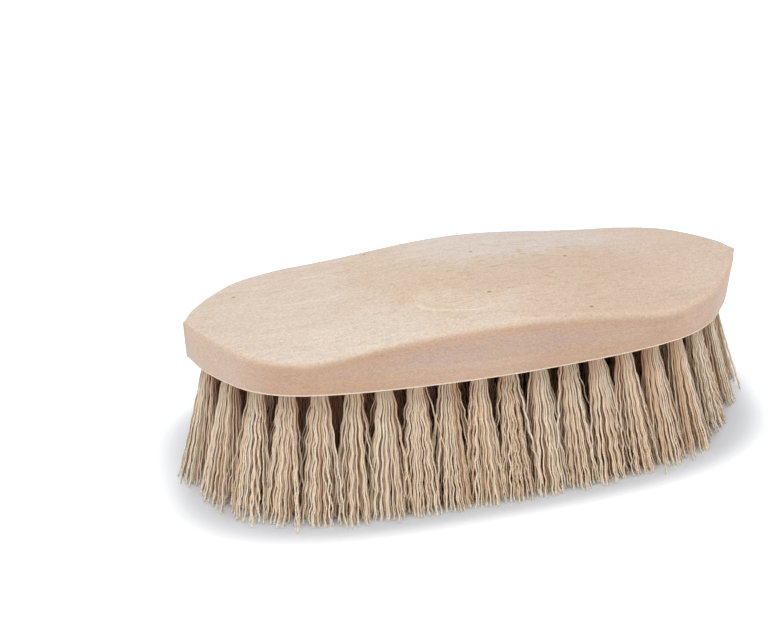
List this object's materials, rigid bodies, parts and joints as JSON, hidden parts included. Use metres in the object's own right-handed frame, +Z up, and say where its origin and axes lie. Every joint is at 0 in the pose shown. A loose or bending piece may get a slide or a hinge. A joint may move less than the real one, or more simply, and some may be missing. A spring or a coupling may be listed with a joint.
{
  "type": "horse grooming brush",
  "caption": "Oval wooden grooming brush with a crowned, finger-coved block and stiff plant-fibre tufts, standing on its tips.",
  "frame": {"origin": "on the floor, under the middle of the brush, in the plane of the trimmed bristle tips", "axes": "+X along the block's length, +Y across its width, +Z up from the bristle tips to the block"},
  "size_m": [0.2394, 0.0928, 0.0785],
  "materials": {
    "hardwood": "unfinished pale hardwood, fine sanded, soft edges, faint long grain with small dark flecks",
    "plant_fibre": "matt tan crimped plant fibre with paler trimmed tips, darker between the tufts"
  },
  "bodies": {
    "root": {"hardwood_block": "hardwood", "rim_tuft_01": "plant_fibre", "rim_tuft_02": "plant_fibre", "rim_tuft_03": "plant_fibre", "rim_tuft_04": "plant_fibre", "rim_tuft_05": "plant_fibre", "rim_tuft_06": "plant_fibre", "rim_tuft_07": "plant_fibre", "rim_tuft_08": "plant_fibre", "rim_tuft_09": "plant_fibre", "rim_tuft_10": "plant_fibre", "rim_tuft_11": "plant_fibre", "rim_tuft_12": "plant_fibre", "rim_tuft_13": "plant_fibre", "rim_tuft_14": "plant_fibre", "rim_tuft_15": "plant_fibre", "rim_tuft_16": "plant_fibre", "rim_tuft_17": "plant_fibre", "rim_tuft_18": "plant_fibre", "rim_tuft_19": "plant_fibre", "rim_tuft_20": "plant_fibre", "rim_tuft_21": "plant_fibre", "rim_tuft_22": "plant_fibre", "rim_tuft_23": "plant_fibre", "rim_tuft_24": "plant_fibre", "rim_tuft_25": "plant_fibre", "rim_tuft_26": "plant_fibre", "rim_tuft_27": "plant_fibre", "rim_tuft_28": "plant_fibre", "rim_tuft_29": "plant_fibre", "rim_tuft_30": "plant_fibre", "rim_tuft_31": "plant_fibre", "rim_tuft_32": "plant_fibre", "rim_tuft_33": "plant_fibre", "rim_tuft_34": "plant_fibre", "rim_tuft_35": "plant_fibre", "rim_tuft_36": "plant_fibre", "rim_tuft_37": "plant_fibre", "rim_tuft_38": "plant_fibre", "tuft_row_front": "plant_fibre", "tuft_row_middle": "plant_fibre", "tuft_row_back": "plant_fibre"}
  },
  "joints": []
}
